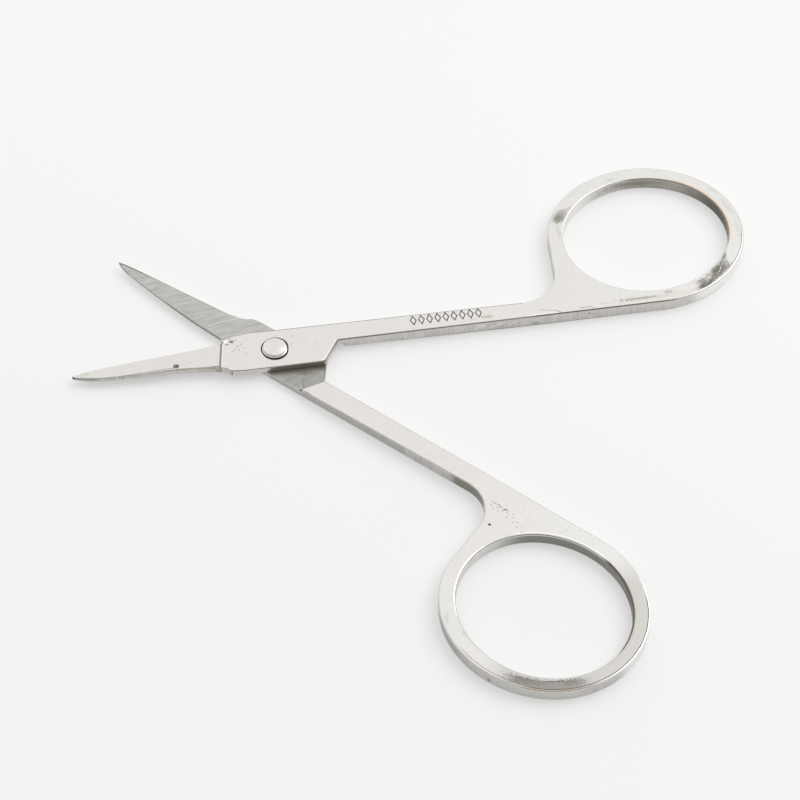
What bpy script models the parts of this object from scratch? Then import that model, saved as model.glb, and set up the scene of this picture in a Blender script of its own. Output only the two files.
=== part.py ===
"""Manicure scissors: two flat steel halves of one outline, one turned over on the other, and a rivet.

Metres, +Z up. The origin is on the pivot axis at the underside. +X runs to the finger rings, along
the line that halves the opening, and the blades point to -X. Each half is drawn closed, in its own
frame, with the inner edge of its shank parallel to X, and is then opened about the pivot.
"""

import math

import bmesh
import bpy
from mathutils import Matrix, Vector

# Overall sizes
thickness = 0.00178            # the stack at the rivet, and each ring
opening_angle = math.radians(46.3)
edge_round = 0.00014           # softened edges of the outline

# Shank and finger ring
closed_gap = 0.00038           # between the two shanks when closed
shank_width_joint = 0.00291
shank_width_neck = 0.0026
shank_thickness_joint = 0.00145
taper_reach = 0.033            # pivot to where the shank has the full thickness
neck_radius = 0.005
neck_set = 0.00024             # how far the neck's side stands out past the ring, towards the blades
ring_reach = 0.05076           # pivot to the ring's centre
hole_length = 0.022
hole_width = 0.02
wall_end = 0.00192             # the ring's width at the ends of the hole
wall_side = 0.00209            # and at its sides
ring_tilt = math.radians(5)
hole_tilt = math.radians(9.5)

# Joint plate
plate_side = 0.00315           # pivot to the edge on the cutting side
plate_back = 0.00305           # pivot to the edge on the back side
shoulder_reach = 0.0061        # pivot to the plate's corner beside the other shank
shoulder_run = 0.002           # from there to the corner between plate and shank
upper_step_set = 0.0011        # from that corner to where the upper half's thick shank starts
lower_step_set = 0.0004        # and the lower half's
step_slant = math.radians(28)  # the step leans by this from square to the shank
corner_radius = 0.0003
face_clearance = 0.00004       # between the two joint faces
corner_cut_shares = ((-0.36, 1.0), (-0.58, 0.96), (-0.8, 0.87))
corner_back_shares = ((-0.94, -0.76), (-0.83, -0.94), (-0.6, -1.0))

# Blade: shares run from the tip to the plate, and across from the pivot line to the plate's edges
tip_reach = 0.0261
front_reach = 0.007            # pivot to the plate's front end, where the ground blade starts
front_slant = 0.16             # run along the blade for each unit across
front_ramp = 0.00026           # length of the slope from the blade up to the plate
upper_cut_shares = ((0.015, -0.05), (0.07, 0.08), (0.2, 0.225), (0.45, 0.385), (0.74, 0.55), (1.0, 0.72))
upper_back_shares = ((0.015, -0.15), (0.07, -0.275), (0.2, -0.435), (0.45, -0.52), (0.72, -0.515), (0.92, -0.62))
lower_cut_shares = ((0.0, 0.02), (0.06, 0.185), (0.15, 0.31), (0.4, 0.51), (0.75, 0.715), (1.0, 0.78))
lower_back_shares = ((0.0, -0.01), (0.09, -0.11), (0.33, -0.235), (0.6, -0.375), (0.85, -0.5), (0.96, -0.625))
back_root = 0.00078            # thickness at the back, beside the plate
back_tip = 0.0003
edge_root = 0.0002             # thickness left at the cutting edge
edge_tip = 0.00008
tip_width = 0.0006             # nearer the tip than this width, the grinding keeps its slope
swell_share = 0.6              # how far up the blade its back has most of its thickness
swell_rise_share = 0.8         # how much of the thickness it has there
back_chamfer = 0.0002
chamfer_limit_share = 0.33     # the most of the blade's width that the chamfer takes

# Punched mark on the upper blade
mark_reach = 0.0127
mark_across = -0.0008
mark_ball = 0.0005
mark_depth = 0.0002

# Rivet
rivet_radius = 0.001
running_clearance = 0.00005    # in the upper half, which turns
seat_clearance = 0.00002       # in the lower half, which the rivet is fast in
head_radius = 0.0016
head_gap = 0.00016             # between the head and its counterbore
counterbore_depth = 0.00018
head_rise = 0.00046            # side of the head above the plate, up to the dome
head_dome = 0.00016
head_round = 0.0002
head_clearance = 0.00003       # under the head
tail_radius = 0.0014
tail_depth = 0.00035

# Cuts run past the steel by this much
overrun = 0.0005

# Counts and shading
ring_sides = 80
rivet_sides = 48
spline_steps = 5
corner_steps = 5
neck_steps = 12
flank_steps = 6
dome_steps = 6
blade_stations = 14
ball_subdivisions = 3
smooth_angle = math.radians(32)

# A rounded edge as (up the side, in from the side), and how far an inset may reach into a corner
round_shares = ((0.0, 1.0), (1 - math.sqrt(0.5), 1 - math.sqrt(0.5)), (1.0, 0.0))
corner_reach_share = 1.5

half_gap = closed_gap / 2
mid_height = thickness / 2
inner_height = mid_height + face_clearance / 2
ring_length = hole_length + 2 * wall_end
ring_width = hole_width + 2 * wall_side
flank_reach = ring_reach - ring_length / 2 - neck_set
crotch_reach = shoulder_reach + shoulder_run
blade_length = tip_reach - front_reach
shank_slope = (shank_width_neck - shank_width_joint) / (taper_reach - crotch_reach)


def clear_scene():
    for thing in list(bpy.data.objects):
        bpy.data.objects.remove(thing)


def steel(name, color, roughness):
    material = bpy.data.materials.new(name)
    material.use_nodes = True
    shader = material.node_tree.nodes["Principled BSDF"]
    shader.inputs["Base Color"].default_value = (*color, 1)
    shader.inputs["Metallic"].default_value = 1
    shader.inputs["Roughness"].default_value = roughness
    return material


def add_object(name, bm, material=None):
    bmesh.ops.recalc_face_normals(bm, faces=bm.faces[:])
    mesh = bpy.data.meshes.new(name)
    bm.to_mesh(mesh)
    bm.free()
    mesh.shade_smooth()
    mesh.set_sharp_from_angle(angle=smooth_angle)
    thing = bpy.data.objects.new(name, mesh)
    bpy.context.scene.collection.objects.link(thing)
    if material:
        mesh.materials.append(material)
    return thing


def cut_with(half, name, bm):
    """Takes a helper's shape out of a half, in the half's own frame."""
    cutter = add_object(name, bm)
    cutter.parent = half
    cutter.hide_render = True
    cutter.display_type = "WIRE"
    boolean = half.modifiers.new(name, "BOOLEAN")
    boolean.operation = "DIFFERENCE"
    boolean.object = cutter


# Outline curves

def spline(points):
    """A smooth curve through the points."""
    ends = [points[0] * 2 - points[1], *points, points[-1] * 2 - points[-2]]
    curve = []
    for a, b, c, d in zip(ends, ends[1:], ends[2:], ends[3:]):
        for step in range(spline_steps):
            t = step / spline_steps
            curve.append((b * 2 + (c - a) * t + (a * 2 - b * 5 + c * 4 - d) * t ** 2
                          + (b * 3 - a - c * 3 + d) * t ** 3) / 2)
    return curve + [points[-1]]


def rounded_corner(before, corner, after, radius):
    """An arc that touches both sides of a corner."""
    towards = (before - corner).normalized()
    away = (after - corner).normalized()
    half_angle = towards.angle(away) / 2
    reach = radius / math.tan(half_angle)
    reach = min(reach, (before - corner).length / 2, (after - corner).length / 2)
    centre = corner + (towards + away).normalized() * reach / math.cos(half_angle)
    start = corner + towards * reach - centre
    turn = start.angle_signed(corner + away * reach - centre)
    return [centre + Matrix.Rotation(-turn * i / corner_steps, 2) @ start for i in range(corner_steps + 1)]


def ellipse_point(centre, length, width, tilt, angle):
    along = math.cos(angle) * length / 2
    across = math.sin(angle) * width / 2
    return centre + Matrix.Rotation(tilt, 2) @ Vector((along, across))


def ring_centre():
    drop = math.hypot(ring_length / 2 * math.sin(ring_tilt), ring_width / 2 * math.cos(ring_tilt))
    return Vector((ring_reach, half_gap + drop))


def ring_arc():
    """The ring's outside, from its lowest point round its far end to the point nearest the blades."""
    lowest = math.pi + math.atan2(ring_width * math.cos(ring_tilt), ring_length * math.sin(ring_tilt))
    nearest = 3 * math.pi - math.atan2(ring_width * math.sin(ring_tilt), ring_length * math.cos(ring_tilt))
    steps = round(ring_sides * (nearest - lowest) / math.tau)
    angles = [lowest + (nearest - lowest) * i / steps for i in range(steps + 1)]
    return [ellipse_point(ring_centre(), ring_length, ring_width, ring_tilt, angle) for angle in angles]


def shank_edge(x):
    """The shank's outer edge."""
    return half_gap + shank_width_joint + shank_slope * (x - crotch_reach)


def neck():
    """Down the side of the neck from the ring, then round into the shank's outer edge."""
    centre_x = flank_reach - neck_radius
    centre = Vector((centre_x, shank_edge(centre_x) + neck_radius * math.hypot(1, shank_slope)))
    start = ring_arc()[-1]
    end = centre + Vector((neck_radius, 0))
    pull = Vector((0, (start.y - end.y) / 3))
    curve = []
    for i in range(1, flank_steps):
        t = i / flank_steps
        curve.append(start * (1 - t) ** 3 + (start - pull) * 3 * t * (1 - t) ** 2
                     + (end + pull) * 3 * t ** 2 * (1 - t) + end * t ** 3)
    last = -math.pi / 2 + math.atan(shank_slope)
    for i in range(neck_steps + 1):
        angle = last * i / neck_steps
        curve.append(centre + Vector((math.cos(angle), math.sin(angle))) * neck_radius)
    return curve


def blade_point(along, across):
    return Vector((blade_length * along - tip_reach, across * (plate_side if across > 0 else plate_back)))


def plate_point(along, across):
    return Vector((front_reach * along, across * (plate_side if across > 0 else plate_back)))


def half_outline(cut_shares, back_shares):
    """The whole outline seen from above, anticlockwise from the tip along the back."""
    back = [blade_point(*share) for share in back_shares]
    back += [plate_point(*share) for share in corner_back_shares]
    shoulder = Vector((shoulder_reach, -plate_back))
    crotch = Vector((crotch_reach, half_gap))
    inner_edge = Vector((taper_reach, half_gap))
    cut = [Vector((0, plate_side))]
    cut += [plate_point(*share) for share in corner_cut_shares]
    cut += [blade_point(*share) for share in reversed(cut_shares)]
    outline = spline(back)
    outline += rounded_corner(back[-1], shoulder, crotch, corner_radius)
    outline += rounded_corner(shoulder, crotch, inner_edge, corner_radius)
    outline.append(inner_edge)
    outline += ring_arc()
    outline += neck()
    outline.append(Vector((crotch_reach, shank_edge(crotch_reach))))
    outline += spline(cut)
    return outline


def inset(outline, distance):
    """The outline moved inwards, with the reach into sharp corners held back, and not at the ground blade."""
    moved = []
    for i, point in enumerate(outline):
        before = (point - outline[i - 1]).normalized()
        after = (outline[(i + 1) % len(outline)] - point).normalized()
        across = Vector((-before.y - after.y, before.x + after.x)).normalized()
        cosine = max(across.dot(Vector((-before.y, before.x))), 1 / corner_reach_share)
        softened = min(max((point.x + front_reach) / edge_round, 0), 1)
        moved.append(point + across * distance * softened / cosine)
    return moved


# Solids

def loft(loops):
    """A closed solid through loops of as many points, capped at both ends."""
    bm = bmesh.new()
    rings = [[bm.verts.new(point) for point in loop] for loop in loops]
    for lower, upper in zip(rings, rings[1:]):
        for i in range(len(lower)):
            j = (i + 1) % len(lower)
            bm.faces.new((lower[i], lower[j], upper[j], upper[i]))
    bm.faces.new(rings[0])
    bm.faces.new(rings[-1])
    return bm


def at_height(points, height):
    return [Vector((point.x, point.y, height)) for point in points]


def slab(outline, step_reach):
    """The outline as a flat bar with softened edges, thinner underneath towards the joint."""
    loops = [at_height(inset(outline, edge_round * out), edge_round * up) for up, out in round_shares]
    loops += [at_height(inset(outline, edge_round * out), thickness - edge_round * up)
              for up, out in reversed(round_shares)]
    bm = loft(loops)
    relief = thickness - shank_thickness_joint
    for reach in (step_reach, taper_reach):
        bmesh.ops.bisect_plane(bm, geom=bm.verts[:] + bm.edges[:] + bm.faces[:],
                               plane_co=(reach, 0, 0), plane_no=(1, 0, 0))
    for vert in bm.verts:
        if vert.co.z < mid_height:
            thinned = (taper_reach - vert.co.x) / (taper_reach - step_reach)
            vert.co.z += relief * min(max(thinned, 0), 1)
    return bm


def finger_hole():
    """The hole's shape, flared at both faces to soften its rim."""
    flare = overrun * (round_shares[0][1] - round_shares[1][1]) / (round_shares[1][0] - round_shares[0][0])
    levels = [(-overrun, edge_round + flare)]
    levels += [(edge_round * up, edge_round * out) for up, out in round_shares[1:]]
    levels += [(thickness - height, out) for height, out in reversed(levels)]
    angles = [math.tau * i / ring_sides for i in range(ring_sides)]
    loops = []
    for height, out in levels:
        rim = [ellipse_point(ring_centre(), hole_length + 2 * out, hole_width + 2 * out, hole_tilt, angle)
               for angle in angles]
        loops.append(at_height(rim, height))
    return loft(loops)


def recess(step_reach):
    """All that is under the joint face, from the step to past the tip."""
    far_y = plate_side + plate_back
    lean = far_y * math.tan(step_slant)
    corners = [Vector((-tip_reach - overrun, -far_y)), Vector((step_reach + lean, -far_y)),
               Vector((step_reach - lean, far_y)), Vector((-tip_reach - overrun, far_y))]
    return loft([at_height(corners, -overrun), at_height(corners, inner_height)])


def blade_heights(along):
    """Heights of the ground face at the back and at the cutting edge, above the joint face."""
    swell = min(along / swell_share, 1)
    rise = swell * swell_rise_share + along * (1 - swell_rise_share)
    return back_tip + (back_root - back_tip) * rise, edge_tip + (edge_root - edge_tip) * along


def outline_across(shares, along):
    """How far across a blade's outline lies at this share of its length."""
    for (start, start_across), (end, end_across) in zip(shares, shares[1:]):
        if along <= end:
            break
    part = min(max((along - start) / (end - start), 0), 1)
    return blade_point(along, start_across + (end_across - start_across) * part).y


def ground_face(cut_shares, back_shares):
    """All that is ground off the blade's outer face: a wedge with a chamfer along the back."""
    top = thickness + overrun
    loops = []
    stations = [i / blade_stations for i in range(blade_stations + 1)]
    for along in [-overrun / blade_length, *stations, None]:
        ramp_end = along is None
        share = 1 if ramp_end else max(along, 0)
        back, edge = blade_heights(share)
        back_y = outline_across(back_shares, share)
        cut_y = max(outline_across(cut_shares, share), back_y + tip_width)
        chamfer = min(back_chamfer, (cut_y - back_y) * chamfer_limit_share)
        slope = (edge - back) / (cut_y - back_y - chamfer)
        x = (front_ramp - front_reach) if ramp_end else blade_length * along - tip_reach
        profile = [(-plate_back - overrun, back - chamfer - (back_y + plate_back + overrun)),
                   (back_y + chamfer, back),
                   (plate_side + overrun, edge + slope * (plate_side + overrun - cut_y))]
        if ramp_end:
            profile = [(y, thickness + edge_round - inner_height) for y, z in profile]
        loop = [Vector((x + front_slant * y * share, y, inner_height + z)) for y, z in profile]
        loop += [Vector((loop[2].x, loop[2].y, top)), Vector((loop[0].x, loop[0].y, top))]
        loops.append(loop)
    return loft(loops)


def turned(profile, sides):
    """A solid turned about the pivot axis from (radius, height) pairs that start and end on the axis."""
    bm = bmesh.new()
    rings = []
    for radius, height in profile:
        count = sides if radius else 1
        rings.append([bm.verts.new((radius * math.cos(math.tau * i / sides),
                                    radius * math.sin(math.tau * i / sides), height)) for i in range(count)])
    for lower, upper in zip(rings, rings[1:]):
        for i in range(sides):
            j = (i + 1) % sides
            corners = [lower[i % len(lower)], lower[j % len(lower)], upper[j % len(upper)], upper[i % len(upper)]]
            bm.faces.new(dict.fromkeys(corners))
    return bm


def upper_bore():
    """Bore and counterbore, in the upper half's frame."""
    bore = rivet_radius + running_clearance
    sink = head_radius + head_gap
    floor = thickness - counterbore_depth
    return turned([(0, -overrun), (bore, -overrun), (bore, floor), (sink, floor),
                   (sink, thickness + overrun), (0, thickness + overrun)], rivet_sides)


def lower_bore():
    """Bore and countersink, in the lower half's frame, which is turned over."""
    bore = rivet_radius + seat_clearance
    sink = tail_radius + seat_clearance
    flare = (sink - bore) / tail_depth * overrun
    return turned([(0, -overrun), (bore, -overrun), (bore, thickness - tail_depth),
                   (sink + flare, thickness + overrun), (0, thickness + overrun)], rivet_sides)


def punched_mark():
    """A ball sunk into the upper blade's ground face."""
    along = (tip_reach - mark_reach) / blade_length
    back, edge = blade_heights(along)
    back_y = outline_across(upper_back_shares, along) + back_chamfer
    cut_y = outline_across(upper_cut_shares, along)
    face = inner_height + back + (edge - back) * (mark_across - back_y) / (cut_y - back_y)
    bm = bmesh.new()
    centre = Matrix.Translation((-mark_reach, mark_across, face + mark_ball - mark_depth))
    bmesh.ops.create_icosphere(bm, subdivisions=ball_subdivisions, radius=mark_ball, matrix=centre)
    return bm


def make_half(name, cut_shares, back_shares, step_set, bore, material):
    step_reach = crotch_reach + step_set
    half = add_object(name, slab(half_outline(cut_shares, back_shares), step_reach), material)
    cut_with(half, name + "_finger_hole", finger_hole())
    cut_with(half, name + "_recess", recess(step_reach))
    cut_with(half, name + "_ground_face", ground_face(cut_shares, back_shares))
    cut_with(half, name + "_bore", bore)
    return half


def make_rivet():
    """The tail is flush with the underside, and the head stands on the upper half."""
    under_head = thickness - counterbore_depth + head_clearance
    side_top = thickness + head_rise
    crown = head_radius - head_round
    up, out = round_shares[1]
    profile = [(0, 0), (tail_radius, 0), (rivet_radius, tail_depth), (rivet_radius, under_head),
               (head_radius, under_head), (head_radius, side_top - head_round),
               (head_radius - head_round * up, side_top - head_round * out)]
    for i in range(dome_steps + 1):
        share = 1 - i / dome_steps
        profile.append((crown * share, side_top + head_dome * (1 - share ** 2)))
    return add_object("pivot_rivet", turned(profile, rivet_sides), steel("rivet_steel", (0.74, 0.73, 0.71), 0.25))


clear_scene()
upper = make_half("upper_half", upper_cut_shares, upper_back_shares, upper_step_set, upper_bore(),
                  steel("upper_steel", (0.72, 0.71, 0.69), 0.34))
cut_with(upper, "upper_half_mark", punched_mark())
upper.rotation_euler.z = opening_angle / 2

lower = make_half("lower_half", lower_cut_shares, lower_back_shares, lower_step_set, lower_bore(),
                  steel("lower_steel", (0.7, 0.69, 0.67), 0.36))
lower.rotation_euler = (math.pi, 0, -opening_angle / 2)
lower.location.z = thickness

make_rivet()
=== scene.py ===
import math
import bpy
from mathutils import Euler, Matrix, Vector


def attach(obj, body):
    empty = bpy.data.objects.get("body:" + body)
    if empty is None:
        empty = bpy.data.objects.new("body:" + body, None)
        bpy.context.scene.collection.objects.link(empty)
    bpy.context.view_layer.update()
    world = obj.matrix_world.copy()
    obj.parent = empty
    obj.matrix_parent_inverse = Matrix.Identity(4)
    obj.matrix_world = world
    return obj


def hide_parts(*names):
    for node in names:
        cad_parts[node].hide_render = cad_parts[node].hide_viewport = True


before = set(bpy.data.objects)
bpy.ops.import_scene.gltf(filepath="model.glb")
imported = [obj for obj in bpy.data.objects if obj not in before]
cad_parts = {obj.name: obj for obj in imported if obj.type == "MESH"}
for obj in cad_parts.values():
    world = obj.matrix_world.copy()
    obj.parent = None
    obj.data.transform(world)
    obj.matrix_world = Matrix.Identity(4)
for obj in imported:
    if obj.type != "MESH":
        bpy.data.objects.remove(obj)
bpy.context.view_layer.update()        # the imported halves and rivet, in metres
print("Frame loaded")

mm = 0.001
openAngle = math.radians(46.3)
topZ = 1.78 * mm                         # both flat faces of the pair lie at 0 and here
jointZ = topZ / 2                        # the halves meet here

# How each half lies: drawn closed, turned over or not, then opened about the pivot
halfTurns = {"upper": (0, 0, openAngle / 2), "lower": (math.pi, 0, -openAngle / 2)}
halfShifts = {"upper": (0, 0, 0), "lower": (0, 0, topZ)}
halfPlaces = {side: Matrix.Translation(halfShifts[side]) @ Euler(halfTurns[side]).to_matrix().to_4x4()
              for side in halfTurns}


def pickOnly(piece):
    bpy.ops.object.select_all(action="DESELECT")
    piece.select_set(True)
    bpy.context.view_layer.objects.active = piece


def editAll(piece):
    pickOnly(piece)
    bpy.ops.object.mode_set(mode="EDIT")
    bpy.ops.mesh.select_all(action="SELECT")


def closeEdit():
    bpy.ops.object.mode_set(mode="OBJECT")


def placeMesh(piece, place):
    # moves the mesh itself, so that the object stays at the origin
    piece.matrix_world = place @ piece.matrix_world
    pickOnly(piece)
    bpy.ops.object.transform_apply(location=True, rotation=True, scale=True)


def cutOut(piece, tool):
    pickOnly(piece)
    cut = piece.modifiers.new("cut", "BOOLEAN")
    cut.operation = "DIFFERENCE"
    cut.object = tool
    bpy.ops.object.modifier_apply(modifier=cut.name)
    bpy.data.objects.remove(tool)


flatsWeight = 90         # how far large faces outweigh small ones in the shading


def keepFlatsFlat(piece, sharpAngle):
    # smooth shading over the rounded edges that doesn't pull on the flat faces
    pickOnly(piece)
    bpy.ops.object.shade_smooth_by_angle(angle=sharpAngle)
    weigh = piece.modifiers.new("flats", "WEIGHTED_NORMAL")
    weigh.keep_sharp = True
    weigh.weight = flatsWeight
    bpy.ops.object.modifier_apply(modifier=weigh.name)


# Shader helpers

def newGroup(name, inputs, outputs):
    # an input whose default is a tuple is a vector, and everything else is a number
    group = bpy.data.node_groups.new(name, "ShaderNodeTree")
    for label, value in inputs.items():
        kind = "NodeSocketVector" if isinstance(value, tuple) else "NodeSocketFloat"
        group.interface.new_socket(label, in_out="INPUT", socket_type=kind).default_value = value
    for label in outputs:
        group.interface.new_socket(label, in_out="OUTPUT", socket_type="NodeSocketFloat")
    return group, group.nodes.new("NodeGroupInput").outputs, group.nodes.new("NodeGroupOutput").inputs


def plug(tree, socket, value):
    # a number or colour is set on the socket, and another node's output is linked to it
    if isinstance(value, bpy.types.NodeSocket):
        tree.links.new(value, socket)
    elif isinstance(value, tuple) and socket.type == "RGBA":
        socket.default_value = (*value, 1)
    else:
        socket.default_value = value


def mathNode(tree, operation, *values, clamp=False):
    node = tree.nodes.new("ShaderNodeMath")
    node.operation = operation
    node.use_clamp = clamp
    for socket, value in zip(node.inputs, values):
        plug(tree, socket, value)
    return node.outputs[0]


def vectorNode(tree, operation, *values, output="Vector"):
    node = tree.nodes.new("ShaderNodeVectorMath")
    node.operation = operation
    for socket, value in zip(node.inputs, values):
        plug(tree, socket, value)
    return node.outputs[output]


def mapRange(tree, value, low, high, toLow=0.0, toHigh=1.0, blend="SMOOTHSTEP"):
    node = tree.nodes.new("ShaderNodeMapRange")
    node.interpolation_type = blend
    items = {"Value": value, "From Min": low, "From Max": high, "To Min": toLow, "To Max": toHigh}
    for label, item in items.items():
        plug(tree, node.inputs[label], item)
    return node.outputs[0]


def noise(tree, vector, scale, detail=2.0, rough=0.5):
    node = tree.nodes.new("ShaderNodeTexNoise")
    plug(tree, node.inputs["Vector"], vector)
    plug(tree, node.inputs["Scale"], scale)
    plug(tree, node.inputs["Detail"], detail)
    plug(tree, node.inputs["Roughness"], rough)
    return node.outputs["Fac"]


def turned(tree, vector, angle):
    node = tree.nodes.new("ShaderNodeVectorRotate")
    node.rotation_type = "Z_AXIS"
    plug(tree, node.inputs["Vector"], vector)
    plug(tree, node.inputs["Angle"], angle)
    return node.outputs[0]


def turnedBack(tree, vector, angle):
    return turned(tree, vector, mathNode(tree, "MULTIPLY", angle, -1.0))


def axesOf(tree, vector):
    apart = tree.nodes.new("ShaderNodeSeparateXYZ")
    plug(tree, apart.inputs[0], vector)
    return apart.outputs


def mixColor(tree, factor, a, b, blend="MIX"):
    node = tree.nodes.new("ShaderNodeMix")
    node.data_type = "RGBA"
    node.blend_type = blend
    plug(tree, node.inputs[0], factor)
    plug(tree, node.inputs[6], a)
    plug(tree, node.inputs[7], b)
    return node.outputs[2]


def newMaterial(name):
    material = bpy.data.materials.new(name)
    material.use_nodes = True
    return material, material.node_tree, material.node_tree.nodes["Principled BSDF"]


def grayOf(tree, shade):
    gray = tree.nodes.new("ShaderNodeCombineColor")
    for socket in gray.inputs:
        plug(tree, socket, shade)
    return gray.outputs[0]


bumpDistance = 0.01 * mm


def addBump(tree, shader, strength, height):
    bump = tree.nodes.new("ShaderNodeBump")
    bump.inputs["Strength"].default_value = strength
    bump.inputs["Distance"].default_value = bumpDistance
    plug(tree, bump.inputs["Height"], height)
    plug(tree, shader.inputs["Normal"], bump.outputs[0])


# Effects that the steel finishes share, all in millimetres of a half's own frame

noiseSpan = (0.3, 0.7)                  # nearly all of a noise's values lie between these
effectWork = {
    "border": 0.92,                     # a stain ends at this share of its reach,
    "raggedReach": 4.0,                 # moved by this much for the whole of its noise
    "strokeEnds": (0.6, 0.25),          # shares of a stroke's width where it starts and is full
    "gapScale": 4.0, "gapDetail": 3.0, "gaps": (0.42, 0.55),
    "bandScale": 3.0, "bandEnds": (1.1, 0.75), "bandTurn": 0.6,
    "speckChosen": (0.5, 0.95), "speckCore": 0.3,
    "speckleDetail": 4.0, "speckleRough": 0.65,
}


def buildGrindLines():
    # fine scratches, drawn out along the axis with the slowest pace, and a soft cloud under them
    group, given, put = newGroup(
        "grindLines", {"Place": (0, 0, 0), "Turn": 0.0, "Pace": (1, 12, 12)}, ("Lines", "Cloud"))
    straight = turnedBack(group, given["Place"], given["Turn"])
    drawnOut = vectorNode(group, "MULTIPLY", straight, given["Pace"])
    plug(group, put["Lines"], noise(group, drawnOut, scale=1.0, detail=3.0, rough=0.6))
    cloud = noise(group, given["Place"], scale=0.7, detail=4.0, rough=0.55)
    plug(group, put["Cloud"], cloud)
    return group


def buildPatch():
    # an oval patch with a ragged, speckled border, for stains and for painted shade and light
    group, given, put = newGroup(
        "stainAndShadePatch", {"Place": (0, 0, 0), "Centre": (0, 0, 0), "Reach": (1, 1, 1), "Turn": 0.0,
                       "Ragged": 0.5, "Speckle": 3.0, "Soft": 0.2}, ("Mask",))
    away = vectorNode(group, "SUBTRACT", given["Place"], given["Centre"])
    away = turnedBack(group, away, given["Turn"])
    away = vectorNode(group, "DIVIDE", away, given["Reach"])
    distance = vectorNode(group, "LENGTH", away, output="Value")
    speckles = noise(group, given["Place"], given["Speckle"],
                     effectWork["speckleDetail"], effectWork["speckleRough"])
    broken = mathNode(group, "SUBTRACT", speckles, 0.5)
    broken = mathNode(group, "MULTIPLY", broken, given["Ragged"])
    edge = mathNode(group, "ADD", distance, mathNode(group, "MULTIPLY", broken, effectWork["raggedReach"]))
    plug(group, put["Mask"],
         mapRange(group, edge, mathNode(group, "ADD", effectWork["border"], given["Soft"]),
                  mathNode(group, "SUBTRACT", effectWork["border"], given["Soft"])))
    return group


def buildStroke():
    # a straight scratch, painted dark line or painted highlight between two places, broken here and there
    group, given, put = newGroup(
        "stroke", {"Place": (0, 0, 0), "From": (0, 0, 0), "To": (1, 0, 0), "Width": 0.1,
                   "Broken": 0.0}, ("Mask",))
    away = vectorNode(group, "SUBTRACT", given["Place"], given["From"])
    run = vectorNode(group, "SUBTRACT", given["To"], given["From"])
    share = mathNode(group, "DIVIDE", vectorNode(group, "DOT_PRODUCT", away, run, output="Value"),
                     vectorNode(group, "DOT_PRODUCT", run, run, output="Value"), clamp=True)
    along = vectorNode(group, "MULTIPLY", run, share)
    distance = vectorNode(group, "DISTANCE", away, along, output="Value")
    ends = [mathNode(group, "MULTIPLY", given["Width"], part) for part in effectWork["strokeEnds"]]
    mask = mapRange(group, distance, *ends)
    gaps = noise(group, given["Place"], effectWork["gapScale"], effectWork["gapDetail"])
    gaps = mapRange(group, gaps, *effectWork["gaps"])
    kept = mathNode(group, "SUBTRACT", 1.0, mathNode(group, "MULTIPLY", gaps, given["Broken"]))
    plug(group, put["Mask"], mathNode(group, "MULTIPLY", mask, kept))
    return group


def buildRimBand():
    # a band that follows an oval rim for part of the way round
    group, given, put = newGroup(
        "rimBand", {"Place": (0, 0, 0), "Centre": (0, 0, 0), "Reach": (1, 1, 1), "Tilt": 0.0,
                    "Middle": 0.0, "Span": 1.0, "Fade": 0.2, "Offset": 0.0, "Width": 0.2,
                    "Ragged": 0.0}, ("Mask",))
    away = vectorNode(group, "SUBTRACT", given["Place"], given["Centre"])
    straight = turnedBack(group, away, given["Tilt"])
    share = vectorNode(group, "DIVIDE", straight, given["Reach"])
    share = vectorNode(group, "LENGTH", share, output="Value")
    radius = vectorNode(group, "LENGTH", away, output="Value")
    outside = mathNode(group, "SUBTRACT", radius, mathNode(group, "DIVIDE", radius, share))
    speckles = noise(group, given["Place"], effectWork["bandScale"],
                     effectWork["speckleDetail"], effectWork["speckleRough"])
    speckles = mathNode(group, "SUBTRACT", speckles, 0.5)
    speckles = mathNode(group, "MULTIPLY", speckles, given["Ragged"])
    across = mathNode(group, "ABSOLUTE", mathNode(group, "SUBTRACT", outside, given["Offset"]))
    across = mathNode(group, "DIVIDE", across, mathNode(group, "MULTIPLY", given["Width"], 0.5))
    moved = mathNode(group, "MULTIPLY", speckles, effectWork["raggedReach"])
    across = mathNode(group, "ADD", across, moved)
    x, y = axesOf(group, turnedBack(group, away, given["Middle"]))[:2]
    turn = mathNode(group, "ABSOLUTE", mathNode(group, "ARCTAN2", y, x))
    turn = mathNode(group, "ADD", turn, mathNode(group, "MULTIPLY", speckles, effectWork["bandTurn"]))
    sides = mapRange(group, across, *effectWork["bandEnds"])
    ends = mapRange(group, turn, given["Span"],
                    mathNode(group, "SUBTRACT", given["Span"], given["Fade"]))
    plug(group, put["Mask"], mathNode(group, "MULTIPLY", sides, ends))
    return group


def buildSpecks():
    # tiny pits scattered over ground steel, few of them deep
    group, given, put = newGroup(
        "specks", {"Place": (0, 0, 0), "Density": 1.5, "Size": 0.12}, ("Mask",))
    cells = group.nodes.new("ShaderNodeTexVoronoi")
    plug(group, cells.inputs["Vector"], given["Place"])
    plug(group, cells.inputs["Scale"], given["Density"])
    tint = group.nodes.new("ShaderNodeSeparateColor")
    plug(group, tint.inputs[0], cells.outputs["Color"])
    chosen = mapRange(group, tint.outputs[0], *effectWork["speckChosen"])
    size = mathNode(group, "MULTIPLY", given["Size"], given["Density"])
    core = mathNode(group, "MULTIPLY", size, effectWork["speckCore"])
    spot = mapRange(group, cells.outputs["Distance"], size, core)
    plug(group, put["Mask"], mathNode(group, "MULTIPLY", spot, chosen))
    return group


effects = {"lines": buildGrindLines(), "patch": buildPatch(), "stroke": buildStroke(),
           "rim": buildRimBand(), "specks": buildSpecks()}


def useEffect(tree, name, **values):
    node = tree.nodes.new("ShaderNodeGroup")
    node.node_tree = effects[name]
    for label, value in values.items():
        plug(tree, node.inputs[label], value)
    return node.outputs


upsideSpan = (0.45 * topZ, 0.55 * topZ)      # the underside gives way to the top between these heights


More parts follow.
